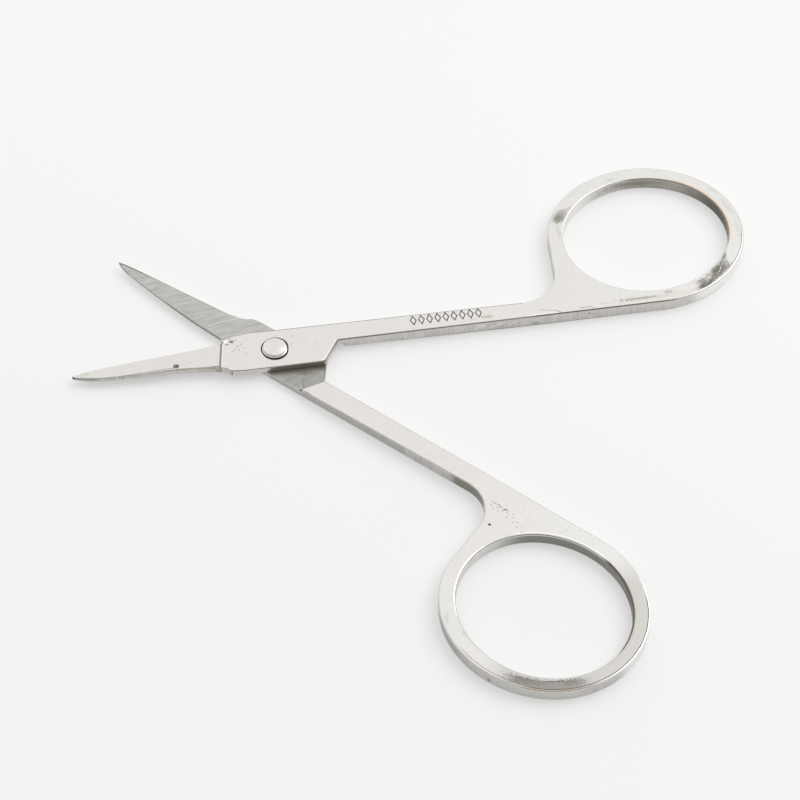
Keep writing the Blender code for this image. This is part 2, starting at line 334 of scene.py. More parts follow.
def halfPlaceNodes(tree, side):
    # the place in millimetres of the half's own closed frame, whole and without its height, and a mask
    # that is 1 on the upper side of the scissors as they lie
    coords = tree.nodes.new("ShaderNodeTexCoord")
    mapping = tree.nodes.new("ShaderNodeMapping")
    mapping.vector_type = "TEXTURE"
    plug(tree, mapping.inputs["Vector"], coords.outputs["Object"])
    mapping.inputs["Rotation"].default_value = halfTurns[side]
    mapping.inputs["Location"].default_value = halfShifts[side]
    mapping.inputs["Scale"].default_value = (mm, mm, mm)
    flat = vectorNode(tree, "MULTIPLY", mapping.outputs[0], (1, 1, 0))
    height = axesOf(tree, coords.outputs["Object"])[2]
    return mapping.outputs[0], flat, mapRange(tree, height, *upsideSpan)


# The rings' ovals, in millimetres of a half's own frame
ringOvals = {
    "hole": {"centre": (50.76, 12.29), "reach": (11.0, 10.0), "tilt": math.radians(9.5)},
    "outside": {"centre": (50.76, 12.29), "reach": (12.92, 12.09), "tilt": math.radians(5)},
}


def markMask(tree, mark, solid, flat, upside):
    # a patch or stroke whose places have a height is met at that height, and others mark every height
    place = solid if len(mark.get("at", ())) == 3 else flat
    if mark["kind"] == "patch":
        reach = (*mark["reach"], mark["reach"][0] if place is solid else 1.0)[:3]
        effect = useEffect(tree, "patch", Place=place, Centre=(*mark["at"], 0.0)[:3], Reach=reach,
                           Turn=math.radians(mark.get("turn", 0)), Ragged=mark.get("ragged", 0.3),
                           Speckle=mark.get("speckle", 3.0), Soft=mark.get("soft", 0.2))
    elif mark["kind"] == "stroke":
        effect = useEffect(tree, "stroke", Place=place, From=(*mark["at"], 0.0)[:3],
                           To=(*mark["to"], 0.0)[:3], Width=mark["width"], Broken=mark.get("broken", 0.0))
    else:
        oval = ringOvals[mark["oval"]]
        start, end = (math.radians(angle) for angle in mark["angles"])
        effect = useEffect(tree, "rim", Place=place,
                           Centre=(*oval["centre"], 0.0), Reach=(*oval["reach"], 1.0),
                           Tilt=oval["tilt"], Middle=(start + end) / 2, Span=(end - start) / 2,
                           Fade=math.radians(mark.get("fade", 6)), Offset=mark["offset"],
                           Width=mark["width"], Ragged=mark.get("ragged", 0.0))
    mask = mathNode(tree, "MULTIPLY", effect["Mask"], mark["strength"])
    if mark["on"] == "face":
        # the wear of the top face doesn't show again on the underside
        mask = mathNode(tree, "MULTIPLY", mask, upside)
    return mask


steelWork = {
    "ringBlend": (25, 50),           # the steel gets a little cooler towards the rings, in mm
    "bedSide": (1.0, 0.0, 0.0),      # square to the line where the bed behind the pivot starts
    "bedSpan": (-1.05, -0.95),
    "roughSpread": 0.04, "markRough": 0.08,
    "pitDensity": 1.4, "pitSize": 0.07, "pitDepth": 2.0,
}


def steel(name, side, settings, marks):
    # fine lines, a soft cloud, scattered pits, and the marks of this surface over them
    material, tree, shader = newMaterial(name)
    plug(tree, shader.inputs["Metallic"], settings.get("metallic", 1.0))
    solid, flat, upside = halfPlaceNodes(tree, side)
    grindTurn = settings["grainTurn"]
    pace = settings["pace"]
    if "bedTurn" in settings:
        # the bed behind the pivot is ground another way than the blade
        along = vectorNode(tree, "DOT_PRODUCT", flat, steelWork["bedSide"], output="Value")
        grindTurn = mapRange(tree, along, *steelWork["bedSpan"], grindTurn, settings["bedTurn"])
        pace = mixColor(tree, mapRange(tree, along, *steelWork["bedSpan"]), pace, settings["bedPace"])
    grain = useEffect(tree, "lines", Place=solid, Turn=grindTurn, Pace=pace)
    lineShade = mapRange(tree, grain["Lines"], *noiseSpan,
                         1 - settings["lineShade"], 1 + settings["lineShade"])
    cloudShade = mapRange(tree, grain["Cloud"], *noiseSpan,
                          1 - settings["cloudShade"], 1 + settings["cloudShade"])
    shade = grayOf(tree, mathNode(tree, "MULTIPLY", lineShade, cloudShade))
    towardsRing = mapRange(tree, axesOf(tree, flat)[0], *steelWork["ringBlend"])
    # the lower half's walls have their own darker colour, painted shade
    plain = settings.get(side + "Color", settings["color"])
    color = mixColor(tree, towardsRing, plain, settings.get("ringColor", plain))
    color = mixColor(tree, 1.0, color, shade, "MULTIPLY")
    rough = mapRange(tree, grain["Lines"], *noiseSpan, settings["rough"] - steelWork["roughSpread"],
                     settings["rough"] + steelWork["roughSpread"])
    height = grain["Lines"]
    pits = useEffect(tree, "specks", Place=solid,
                     Density=steelWork["pitDensity"], Size=steelWork["pitSize"])
    pitMask = mathNode(tree, "MULTIPLY", pits["Mask"], settings["pits"])
    color = mixColor(tree, pitMask, color, charcoal)
    height = mathNode(tree, "SUBTRACT", height, mathNode(tree, "MULTIPLY", pitMask, steelWork["pitDepth"]))
    for mark in marks:
        mask = markMask(tree, mark, solid, flat, upside)
        color = mixColor(tree, mask, color, mark["color"])
        rough = mathNode(tree, "ADD", rough, mathNode(tree, "MULTIPLY", mask, steelWork["markRough"]))
        if "sunk" in mark:
            height = mathNode(tree, "SUBTRACT", height, mathNode(tree, "MULTIPLY", mask, mark["sunk"]))
    plug(tree, shader.inputs["Base Color"], color)
    plug(tree, shader.inputs["Roughness"], rough)
    addBump(tree, shader, settings["bump"], height)
    return material


finishes = {
    "face": {"color": (0.755, 0.725, 0.69), "ringColor": (0.755, 0.74, 0.715), "rough": 0.3,
             "grainTurn": 0.35, "pace": (2.5, 9, 9), "lineShade": 0.018, "cloudShade": 0.012,
             "bump": 0.08, "pits": 0.12},
    # the lower half's walls take a darker copy of the wall colour: painted shade
    "wall": {"color": (0.62, 0.6, 0.57), "lowerColor": (0.575, 0.56, 0.53), "rough": 0.3,
             "grainTurn": 0.0, "pace": (5, 5, 0.4), "lineShade": 0.1, "cloudShade": 0.06,
             "bump": 0.2, "pits": 0.3},
    "edge": {"color": (0.7, 0.685, 0.65), "rough": 0.16, "grainTurn": 0.0, "pace": (2, 2, 2),
             "lineShade": 0.02, "cloudShade": 0.02, "bump": 0.0, "pits": 0.0},
    "joint": {"color": (0.5, 0.49, 0.465), "rough": 0.34, "grainTurn": math.radians(-57),
              "pace": (0.3, 13, 13), "bedTurn": math.radians(-71), "bedPace": (0.25, 5, 5),
              "lineShade": 0.22, "cloudShade": 0.03, "bump": 0.25, "pits": 0.2},
    "bevel": {"color": (0.62, 0.6, 0.56), "metallic": 0.2, "rough": 0.45, "grainTurn": 0.0,
              "pace": (2, 8, 8), "lineShade": 0.12, "cloudShade": 0.12, "bump": 0.1, "pits": 0.2},
    "stamp": {"color": (0.1, 0.097, 0.08), "rough": 0.45, "grainTurn": 0.0, "pace": (6, 6, 6),
              "lineShade": 0.25, "cloudShade": 0.2, "bump": 0.2, "pits": 0.0},
    # painted shade: the counterbore under the rivet's head is painted near black
    "sinkShade": {"color": (0.05, 0.047, 0.04), "rough": 0.6, "grainTurn": 0.0, "pace": (6, 6, 6),
             "lineShade": 0.3, "cloudShade": 0.2, "bump": 0.3, "pits": 0.0},
    "dent": {"color": (0.2, 0.192, 0.165), "metallic": 0.3, "rough": 0.5, "grainTurn": 0.0,
             "pace": (6, 6, 6), "lineShade": 0.15, "cloudShade": 0.1, "bump": 0.2, "pits": 0.0},
}
finishOrder = list(finishes)
crispFinishes = {"ground", "dent", "stamp", "bevel"}        # "ground" is a flat below the top face

# near black: real soot and specks, and painted shade round the rivet's head and in the corner of the bed's
# step
sootAndShade = (0.04, 0.037, 0.03)
grime = (0.12, 0.11, 0.09)
charcoal = (0.13, 0.125, 0.11)
smoke = (0.32, 0.31, 0.28)
haze = (0.55, 0.54, 0.5)
brown = (0.3, 0.22, 0.15)
heatTint = (0.74, 0.6, 0.45)
white = (0.98, 0.97, 0.95)


def patch(on, at, reach, color, strength, **more):
    return {"kind": "patch", "on": on, "at": at, "reach": reach, "color": color,
            "strength": strength, **more}


def stroke(on, at, to, width, color, strength, **more):
    return {"kind": "stroke", "on": on, "at": at, "to": to, "width": width, "color": color,
            "strength": strength, **more}


def rim(on, oval, angles, offset, width, color, strength, **more):
    return {"kind": "rim", "on": on, "oval": oval, "angles": angles, "offset": offset, "width": width,
            "color": color, "strength": strength, **more}


upperMarks = [
    # mottled patches left by the tumbling, where the ring meets the neck and at its far end
    patch("face", (40.3, 17.2), (1.45, 0.75), (0.4, 0.39, 0.35), 0.85, turn=52, ragged=0.4, speckle=4.0),
    patch("face", (39.9, 16.8), (0.8, 0.7), charcoal, 0.55, turn=52, ragged=1.6, speckle=6.0),
    stroke("face", (40.9, 17.9), (41.9, 18.5), 0.5, (0.45, 0.44, 0.4), 0.6),
    rim("face", "outside", (-67, -32), -1.05, 1.45, (0.27, 0.255, 0.215), 0.88, fade=7, ragged=0.5),
    rim("face", "outside", (-70, -50), -0.55, 0.6, charcoal, 0.7, fade=7, ragged=0.6),
    patch("face", (60.0, 6.9), (0.8, 0.35), charcoal, 0.8, turn=75, ragged=1.0, speckle=5.0),
    patch("face", (58.6, 4.4), (1.4, 0.75), charcoal, 0.75, turn=50, ragged=1.2, speckle=5.0),
    patch("face", (56.6, 2.2), (1.2, 0.45), charcoal, 0.7, turn=38, ragged=1.2, speckle=5.0),
    patch("face", (59.6, 5.8), (0.55, 0.3), charcoal, 0.7, turn=60, ragged=1.4, speckle=6.0),
    patch("face", (57.2, 3.4), (0.7, 0.25), white, 0.4, turn=40, ragged=1.8, speckle=6.0),
    stroke("face", (57.9, 3.1), (58.7, 4.2), 0.1, white, 0.6, broken=0.9),
    stroke("face", (58.6, 3.8), (59.9, 6.2), 0.11, white, 0.8, broken=0.8),
    stroke("face", (56.2, 1.9), (57.5, 3.2), 0.1, white, 0.7, broken=0.9),
    stroke("face", (59.7, 6.6), (58.0, 4.7), 0.14, charcoal, 0.7, broken=0.5),
    patch("face", (62.4, 15.4), (0.4, 1.8), haze, 0.5, turn=20, ragged=0.8),
    patch("face", (61.3, 18.6), (0.35, 1.0), haze, 0.4, turn=40, ragged=0.8),
    patch("face", (62.9, 11.0), (0.3, 2.2), haze, 0.4, ragged=0.8),
    patch("face", (39.5, 14.3), (0.3, 1.2), haze, 0.5, ragged=1.0, speckle=4.0),
    patch("face", (48.1, 22.7), (0.6, 0.25), haze, 0.6, turn=15, ragged=0.7),
    stroke("face", (41.8, 20.4), (43.4, 21.2), 0.12, haze, 0.6),
    # the plate: painted shade along the step at its front with a painted highlight beside it, torn corner,
    # pits
    stroke("face", (-6.6, 1.9), (-7.25, -2.1), 0.3, (0.17, 0.165, 0.13), 0.9),
    stroke("face", (-6.33, 1.8), (-6.96, -2.0), 0.12, white, 0.55),
    stroke("wall", (-6.5, 2.3), (-7.3, -1.9), 0.9, (0.2, 0.19, 0.15), 0.9),
    stroke("face", (-5.6, 2.3), (-4.6, 2.15), 0.1, charcoal, 0.7, broken=0.7),
    stroke("face", (-5.2, 0.3), (-3.9, 1.7), 0.1, smoke, 0.6, broken=0.6),
    patch("face", (8.1, 0.15), (0.35, 0.12), (0.2, 0.19, 0.16), 0.8, turn=20, ragged=0.6, speckle=5.0),
    patch("face", (-5.45, 2.5), (0.2, 0.08), charcoal, 0.7, ragged=0.5),
    patch("face", (-5.23, 1.77), (0.16, 0.07), charcoal, 0.7, turn=-30, ragged=0.5),
    patch("face", (-6.07, 2.2), (0.4, 0.3), white, 0.8, turn=30, ragged=0.6),
    patch("face", (-6.62, 2.3), (0.22, 0.15), sootAndShade, 0.95, ragged=0.4),
    patch("face", (-6.42, 2.02), (0.18, 0.1), sootAndShade, 0.95, turn=-40, ragged=0.4),
    patch("face", (-5.87, 2.72), (0.3, 0.16), grime, 0.85, turn=40, ragged=0.7, speckle=5.0),
    patch("face", (-5.3, 1.97), (0.34, 0.16), grime, 0.9, turn=-15, ragged=0.8, speckle=5.0),
    patch("face", (-5.95, 1.6), (0.28, 0.1), (0.22, 0.21, 0.19), 0.85, ragged=0.7, speckle=5.0),
    # the rounded shoulder and the slanted side beside the bed: a painted dark reflection on the rounded
    # edge, painted highlights beside it, and a dark speck
    stroke("edge", (5.9, -3.4), (8.1, 0.0), 0.7, charcoal, 0.85),
    stroke("face", (5.95, -2.85), (7.75, 0.0), 0.13, white, 0.85),
    patch("face", (5.75, -2.95), (0.3, 0.2), white, 0.9, turn=30, ragged=0.2),
    patch("face", (8.0, 0.2), (0.4, 0.12), white, 0.9, turn=10, ragged=0.3),
    patch("face", (7.93, -0.45), (0.12, 0.12), sootAndShade, 0.8, ragged=0.2),
    # smudges and scuffs along the shank's near edge, and a painted highlight along it
    patch("face", (27.6, 1.1), (0.9, 0.26), (0.42, 0.42, 0.365), 0.7, turn=-3, ragged=0.7, speckle=5.0),
    patch("face", (25.4, 0.95), (1.0, 0.2), (0.58, 0.58, 0.52), 0.4, ragged=0.4),
    stroke("face", (32.8, 0.42), (36.6, 0.4), 0.13, white, 0.8),
    stroke("face", (34.3, 1.25), (36.6, 0.78), 0.12, charcoal, 0.8, broken=0.6),
    stroke("face", (36.6, 0.75), (37.1, 0.4), 0.12, charcoal, 0.8),
    stroke("face", (39.7, 0.72), (41.2, 0.72), 0.11, charcoal, 0.8),
    stroke("face", (41.2, 0.7), (41.4, 0.35), 0.11, charcoal, 0.7),
    stroke("face", (42.5, 1.1), (44.0, 0.8), 0.12, smoke, 0.7, broken=0.5),
    patch("face", (50.0, 1.0), (6.0, 0.8), (0.66, 0.62, 0.56), 0.5, ragged=0.7, speckle=1.5),
    patch("face", (47.5, 1.12), (3.2, 0.22), smoke, 0.7, ragged=1.0, speckle=3.0),
    patch("face", (51.5, 1.65), (0.7, 0.3), smoke, 0.5, ragged=0.8, speckle=4.0),
    # the sharp near edge with a painted dark reflection, the far one with a painted highlight, and the
    # side face below it
    stroke("edge", (8.5, 0.25), (34.0, 0.15), 0.6, (0.25, 0.235, 0.19), 0.75),
    stroke("edge", (34.0, 0.15), (52.3, 0.1), 0.6, charcoal, 0.8),
    stroke("edge", (-3.0, 4.3), (32.0, 3.3), 2.4, white, 0.95),
    patch("wall", (33.8, 0.19, 0.5), (0.7, 1.0, 0.22), (0.3, 0.29, 0.26), 0.5, ragged=0.4, speckle=4.0),
    patch("wall", (40.8, 0.19, 1.1), (0.13, 0.13), sootAndShade, 0.9, ragged=0.0),
    patch("wall", (16.5, 0.19, 0.45), (0.13, 0.13), charcoal, 0.7, ragged=0.3),
    stroke("wall", (25.9, 0.19, 0.75), (27.2, 0.19, 1.25), 0.22, white, 0.5),
    stroke("wall", (27.9, 0.19, 0.6), (29.6, 0.19, 1.2), 0.22, white, 0.5),
    stroke("wall", (23.6, 0.19, 0.5), (24.6, 0.19, 1.3), 0.14, white, 0.5),
    stroke("wall", (30.3, 0.19, 0.5), (31.2, 0.19, 1.3), 0.14, white, 0.5),
    # the plate's near side: painted light beside the blade, painted shade where it stands over the bed,
    # with nicks at its foot
    stroke("wall", (-5.6, -2.9), (-1.9, -3.45), 1.6, (0.7, 0.68, 0.64), 0.6, broken=0.5),
    stroke("wall", (-0.35, -3.3), (5.9, -3.1), 1.5, (0.42, 0.38, 0.31), 0.92),
    patch("wall", (-6.55, -2.64), (0.14, 0.2), sootAndShade, 0.9, ragged=0.3, speckle=6.0),
    patch("wall", (-6.15, -2.95), (0.2, 0.25), sootAndShade, 0.9, ragged=0.3, speckle=6.0),
    patch("wall", (-5.8, -2.93), (0.1, 0.2), sootAndShade, 0.7, ragged=0.3, speckle=6.0),
    # the wall of the finger hole: painted shade on one side with dark stains in it, painted highlights on
    # the other side and on the outer wall, a painted dark reflection where the top face ends, and brown
    # and heat tint along the rims
    rim("wall", "hole", (-34, 118), 0.0, 1.2, (0.36, 0.345, 0.3), 0.8, fade=45, ragged=0.2),
    rim("wall", "hole", (-34, 62), 0.0, 1.2, (0.1, 0.095, 0.075), 0.85, fade=45, ragged=0.3),
    patch("wall", (57.9, 19.3, 1.0), (0.5, 0.5, 0.25), sootAndShade, 0.9, ragged=1.4, speckle=5.0),
    patch("wall", (51.0, 22.2, 1.0), (3.6, 1.4, 0.5), (0.16, 0.15, 0.13), 0.6, ragged=1.6, speckle=6.0),
    patch("wall", (54.5, 21.0, 0.5), (4.0, 2.0, 0.4), (0.5, 0.48, 0.45), 0.4, ragged=1.0, speckle=2.0),
    rim("wall", "hole", (112, 215), 0.0, 1.2, (0.93, 0.92, 0.9), 0.8, fade=25),
    rim("wall", "outside", (-76, 10), 0.0, 1.6, (0.97, 0.96, 0.94), 0.85, fade=12, ragged=0.05),
    rim("face", "outside", (-50, 0), -0.27, 0.1, charcoal, 0.6, fade=10),
    rim("edge", "hole", (-24, 100), 0.0, 1.2, brown, 0.8, fade=12),
    rim("face", "hole", (-24, 66), 0.2, 0.35, heatTint, 0.8, fade=14),
    rim("face", "outside", (-10, 66), -0.2, 0.3, heatTint, 0.35, fade=14),
    # painted shadow round the rivet's head, and dirt at the tip, along the blade's near edge and a dot on
    # the blade
    patch("face", (0.03, -0.28), (1.84, 1.84), sootAndShade, 1.0, ragged=0.0, soft=0.02),
    patch("face", (0.13, 0.2), (1.8, 1.8), sootAndShade, 0.9, ragged=0.0, soft=0.03),
    patch("face", (-25.85, -0.3), (0.22, 0.16), sootAndShade, 0.9, ragged=0.2),
    patch("face", (-10.9, -0.5), (0.13, 0.1), (0.4, 0.42, 0.34), 0.8, ragged=0.2),
    patch("face", (-24.1, -0.1), (0.5, 0.25), haze, 0.5, ragged=1.0, speckle=5.0),
    patch("bevel", (-10.6, -1.5), (3.4, 0.6), (0.42, 0.38, 0.32), 0.45, turn=-5, ragged=1.0, speckle=4.0),
    stroke("wall", (-17.0, -1.6), (-9.5, -1.75), 1.3, (0.66, 0.62, 0.56), 0.6, broken=0.35),
    stroke("wall", (-9.5, -1.75), (-6.9, -2.6), 1.3, (0.55, 0.51, 0.45), 0.6, broken=0.3),
    patch("bevel", (-24.3, -1.0), (1.9, 0.6), (0.4, 0.39, 0.36), 0.7, turn=-20, ragged=0.3),
    patch("bevel", (-25.8, -0.5), (0.4, 0.4), sootAndShade, 0.9, ragged=0.3),
]
# pits in the plate
platePits = ((-5.27, 0.4), (-1.03, 0.58), (2.16, 0.42), (3.21, 0.59), (5.34, 0.25), (2.47, 1.75),
             (-4.67, 1.16), (-4.14, 1.25), (-4.5, 0.45), (-4.92, 0.17), (-3.83, 0.68), (-3.71, -0.36))
upperMarks += [patch("face", at, (0.1, 0.08), charcoal, 0.7, ragged=0.2, sunk=1.0) for at in platePits]
# a painted dark reflection along the near edge of the upper blade, from near the tip on
bladeEdge = ((-22.4, -1.15), (-19.9, -1.3), (-17.3, -1.28), (-14.8, -1.18), (-12.9, -1.15))
upperMarks += [stroke("face", start, end, 0.16, charcoal, 0.6)
               for start, end in zip(bladeEdge, bladeEdge[1:])]

lowerMarks = [
    # scratches, dents and a pit where the neck widens into the ring
    stroke("face", (36.7, 3.4), (37.7, 3.35), 0.12, charcoal, 0.8, broken=0.4),
    stroke("face", (37.6, 3.3), (38.1, 3.45), 0.13, charcoal, 0.9, broken=0.2),
    patch("face", (38.75, 3.42), (0.34, 0.1), sootAndShade, 0.85, turn=-10, ragged=0.7, speckle=6.0),
    patch("face", (38.55, 3.75), (0.12, 0.1), charcoal, 0.7, ragged=0.5, speckle=6.0),
    patch("face", (38.5, 6.45), (0.2, 0.18), sootAndShade, 1.0, ragged=0.05, sunk=3.0),
    # a painted reflection at the ring's near end: a darker band with a dark arc and a bluish line in it
    rim("face", "outside", (-80, 100), -1.2, 3.4, (0.53, 0.515, 0.487), 0.85, fade=30, ragged=0.1),
    rim("face", "outside", (24, 84), -0.75, 1.5, (0.27, 0.26, 0.235), 0.85, fade=16, ragged=0.6),
    patch("face", (59.9, 19.3), (1.6, 0.5), charcoal, 0.4, turn=-35, ragged=1.2, speckle=4.0),
    patch("face", (55.6, 22.5), (2.2, 0.5), charcoal, 0.35, turn=-28, ragged=1.2, speckle=4.0),
    patch("face", (63.0, 14.0), (0.5, 3.0), haze, 0.4, turn=15, ragged=1.2, speckle=3.0),
    patch("face", (62.8, 8.4), (0.45, 2.4), haze, 0.4, turn=-20, ragged=1.2, speckle=3.0),
    stroke("face", (52.78, 23.3), (54.4, 22.75), 0.13, charcoal, 0.7, broken=0.4),
    stroke("face", (54.4, 22.75), (56.3, 21.85), 0.15, charcoal, 0.7, broken=0.3),
    stroke("face", (57.2, 21.35), (59.0, 19.9), 0.16, (0.09, 0.1, 0.12), 0.85),
    patch("face", (62.2, 15.6), (0.5, 0.5), haze, 0.5, ragged=1.0, speckle=4.0),
    patch("face", (62.7, 12.4), (0.3, 0.3), haze, 0.6, ragged=0.8, speckle=4.0),
    patch("face", (42.8, 20.9), (0.3, 0.9), haze, 0.5, turn=-40, ragged=0.8),
    patch("face", (45.8, 21.5), (0.6, 0.25), haze, 0.5, turn=20, ragged=0.8),
    patch("face", (60.0, 6.2), (0.9, 0.5), haze, 0.3, turn=50, ragged=0.9),
    # rim lines: a painted dark reflection where the top face ends and a painted highlight beside it, with
    # brown tint in places
    rim("face", "outside", (-46, 68), -0.24, 0.13, (0.06, 0.052, 0.042), 0.9, fade=8),
    rim("face", "outside", (66, 114), -0.4, 0.12, (0.3, 0.25, 0.19), 0.8, fade=6),
    rim("edge", "outside", (-60, 30), 0.0, 1.0, white, 0.8, fade=8),
    rim("edge", "outside", (30, 70), 0.0, 1.0, (0.6, 0.52, 0.44), 0.8, fade=8),
    rim("edge", "hole", (-84, 6), 0.0, 1.2, (0.11, 0.092, 0.07), 0.9, fade=10),
    rim("face", "hole", (-70, 20), 0.3, 0.3, (0.5, 0.42, 0.34), 0.4, fade=14),
    # the wall of the finger hole: painted shade on one side, painted highlights on the other
    rim("wall", "hole", (-70, 4), 0.0, 1.2, (0.1, 0.095, 0.08), 0.9, fade=24),
    rim("wall", "hole", (-160, -40), 0.0, 1.2, (0.22, 0.215, 0.19), 0.85, fade=26, ragged=0.12),
    rim("face", "hole", (-150, -74), 0.3, 0.12, white, 0.8, fade=10),
    rim("wall", "hole", (-215, -148), 0.0, 1.2, (0.85, 0.84, 0.82), 0.6, fade=20),
    # the outer wall: neck, and the ring's near side, with painted shade along the neck and round one part
    # of the ring, a painted highlight round another, and dots
    stroke("wall", (2.8, 2.91), (22.0, 2.75), 2.0, (0.46, 0.45, 0.42), 0.6),
    patch("wall", (33.2, 2.9), (3.4, 1.2), (0.2, 0.195, 0.15), 0.8, turn=8, ragged=0.1),
    rim("wall", "outside", (96, 150), 0.0, 1.6, (0.36, 0.355, 0.33), 0.6, fade=24, ragged=0.04),
    rim("wall", "outside", (24, 96), 0.0, 1.6, (0.66, 0.65, 0.62), 0.7, fade=16, ragged=0.03),
    rim("wall", "outside", (-60, 16), 0.0, 1.6, (0.93, 0.92, 0.9), 0.85, fade=14, ragged=0.03),
    patch("wall", (51.5, 24.2, 1.15), (0.22, 0.5, 0.3), (0.25, 0.22, 0.17), 0.7, ragged=0.6, speckle=4.0),
    patch("wall", (58.5, 23.0, 0.3), (0.22, 0.3, 0.15), sootAndShade, 0.9, ragged=0.2),
    # the inner face of the blade: painted shade along both edges, a stain at the tip, and a painted
    # highlight along the step to the bed
    stroke("joint", (-25.6, 0.35), (-23.2, 1.03), 0.16, charcoal, 0.8),
    stroke("joint", (-23.2, 1.0), (-18.5, 1.63), 0.22, charcoal, 0.8),
    stroke("joint", (-18.5, 1.63), (-11.8, 2.18), 0.26, charcoal, 0.8),
    stroke("joint", (-11.8, 2.18), (-7.0, 2.35), 0.26, charcoal, 0.8),
    stroke("joint", (-26.1, 0.0), (-19.8, -0.74), 0.2, charcoal, 0.75),
    stroke("joint", (-19.8, -0.74), (-9.9, -1.52), 0.2, charcoal, 0.75),
    patch("joint", (-25.8, 0.1), (0.5, 0.25), (0.24, 0.24, 0.215), 0.7, ragged=0.3),
    stroke("joint", (-9.73, 1.56), (-7.39, -2.06), 0.12, (0.85, 0.84, 0.81), 0.8, broken=0.3),
    # the bed beside the plate: painted shade under the upper plate and along the step with its corner, a
    # brown stain and scratches
    patch("joint", (4.4, 0.0), (4.6, 3.4), (0.3, 0.292, 0.27), 0.6, ragged=0.1),
    patch("joint", (5.1, 0.25), (1.0, 0.5), (0.22, 0.18, 0.13), 0.6, turn=-40, ragged=1.3, speckle=4.0),
    patch("joint", (2.2, -0.9), (1.2, 0.9), (0.22, 0.215, 0.19), 0.6, turn=-40, ragged=0.5),
    stroke("joint", (5.43, 1.17), (6.25, 2.01), 0.13, charcoal, 0.85, broken=0.8),
    stroke("joint", (6.25, 2.01), (6.72, 2.5), 0.13, charcoal, 0.85, broken=0.6),
    stroke("joint", (5.2, 1.45), (6.3, 2.55), 0.12, haze, 0.6, broken=0.9),
    stroke("joint", (6.5, -1.96), (8.05, 0.02), 0.16, charcoal, 0.8, broken=0.8),
    stroke("joint", (6.75, 2.85), (8.3, 0.2), 0.18, charcoal, 0.85),
    patch("joint", (6.6, 2.85), (0.25, 0.2), sootAndShade, 0.9, ragged=0.4),
]

# fine pock marks scattered from the scratches towards the ring
pockMarks = ((36.9, 3.9), (37.4, 4.2), (38.1, 4.1), (39.2, 3.7), (39.5, 4.3), (40.1, 3.9), (40.5, 4.5),
             (41.0, 4.1), (41.3, 4.8), (41.9, 4.5), (42.3, 5.1), (39.9, 3.4), (37.7, 3.75))
lowerMarks += [patch("face", at, (0.14, 0.07), charcoal, 0.6, turn=25, ragged=0.5, speckle=7.0)
               for at in pockMarks]

steels = {}
for side, marks in (("upper", upperMarks), ("lower", lowerMarks)):
    for part, settings in finishes.items():
        ownMarks = [mark for mark in marks if mark["on"] == part]
        steels[side, part] = steel(side + "Steel" + part.capitalize(), side, settings, ownMarks)
print("Steel finishes ready")


# The two halves

halfWork = {
    "mergeDistance": 0.001 * mm,
    "flatAngle": math.radians(0.5),      # triangles of one flat face become one face again
    "sharpAngle": math.radians(40),
    "faceTilt": 0.95,                    # how far up or down a normal points at least on a flat face,
    "wallTilt": 0.3,                     # and at most on a side wall
    "slack": 0.02 * mm, "jointSlack": 0.03 * mm,
    "edgeRound": 0.14 * mm,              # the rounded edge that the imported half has
    "sinkRadius": 1.8 * mm,              # the counterbore of the rivet's head
    "dentX": -12.7 * mm, "dentY": -0.8 * mm, "dentRadius": 0.41 * mm,
    "dentReach": 1.1, "dentAbove": 0.04 * mm,
    "bladeEnd": -6.9 * mm,               # the upper blade's bevels end at the plate
}
# How much rounder the tumbled rings are, from and to which angle, and how soon it fades
ringRound = {
    "upper": {"outside": (1.2, -82, 150, 20), "hole": (1.0, -360, 360, 20)},
    "lower": {"outside": (1.25, -70, 165, 20), "hole": (1.7, -360, 360, 20)},
}
stampRow = {"count": 9, "startX": 18.15 * mm, "pitch": 1.06 * mm, "y": 1.93 * mm,
            "width": 0.74 * mm, "height": 1.42 * mm, "line": 0.08 * mm, "deep": 0.07 * mm,
            "corners": 4, "lineSides": 10,
            "reach": 0.7}            # how far from the row's middle its faces lie, in heights


def cutStampRow(piece, place):
    # nine plain diamond outlines pressed into the shank
    for i in range(stampRow["count"]):
        bpy.ops.mesh.primitive_torus_add(major_segments=stampRow["corners"],
                                         minor_segments=stampRow["lineSides"], major_radius=0.5,
                                         minor_radius=stampRow["line"] / stampRow["width"])
        tool = bpy.context.active_object
        tool.scale = (stampRow["width"], stampRow["height"], stampRow["width"])
        tool.location = (stampRow["startX"] + i * stampRow["pitch"], stampRow["y"],
                         topZ + stampRow["line"] - stampRow["deep"])
        bpy.ops.object.transform_apply(location=True, rotation=True, scale=True)
        placeMesh(tool, place)
        cutOut(piece, tool)


def inStampRow(at):
    beyond = stampRow["startX"] + stampRow["count"] * stampRow["pitch"]
    return (stampRow["startX"] - stampRow["pitch"] < at.x < beyond
            and abs(at.y - stampRow["y"]) < stampRow["height"] * stampRow["reach"])


def inDent(corners):
    # the punched mark on the upper blade
    reach = halfWork["dentRadius"] * halfWork["dentReach"]
    return all(math.hypot(at.x - halfWork["dentX"], at.y - halfWork["dentY"]) < reach for at in corners)


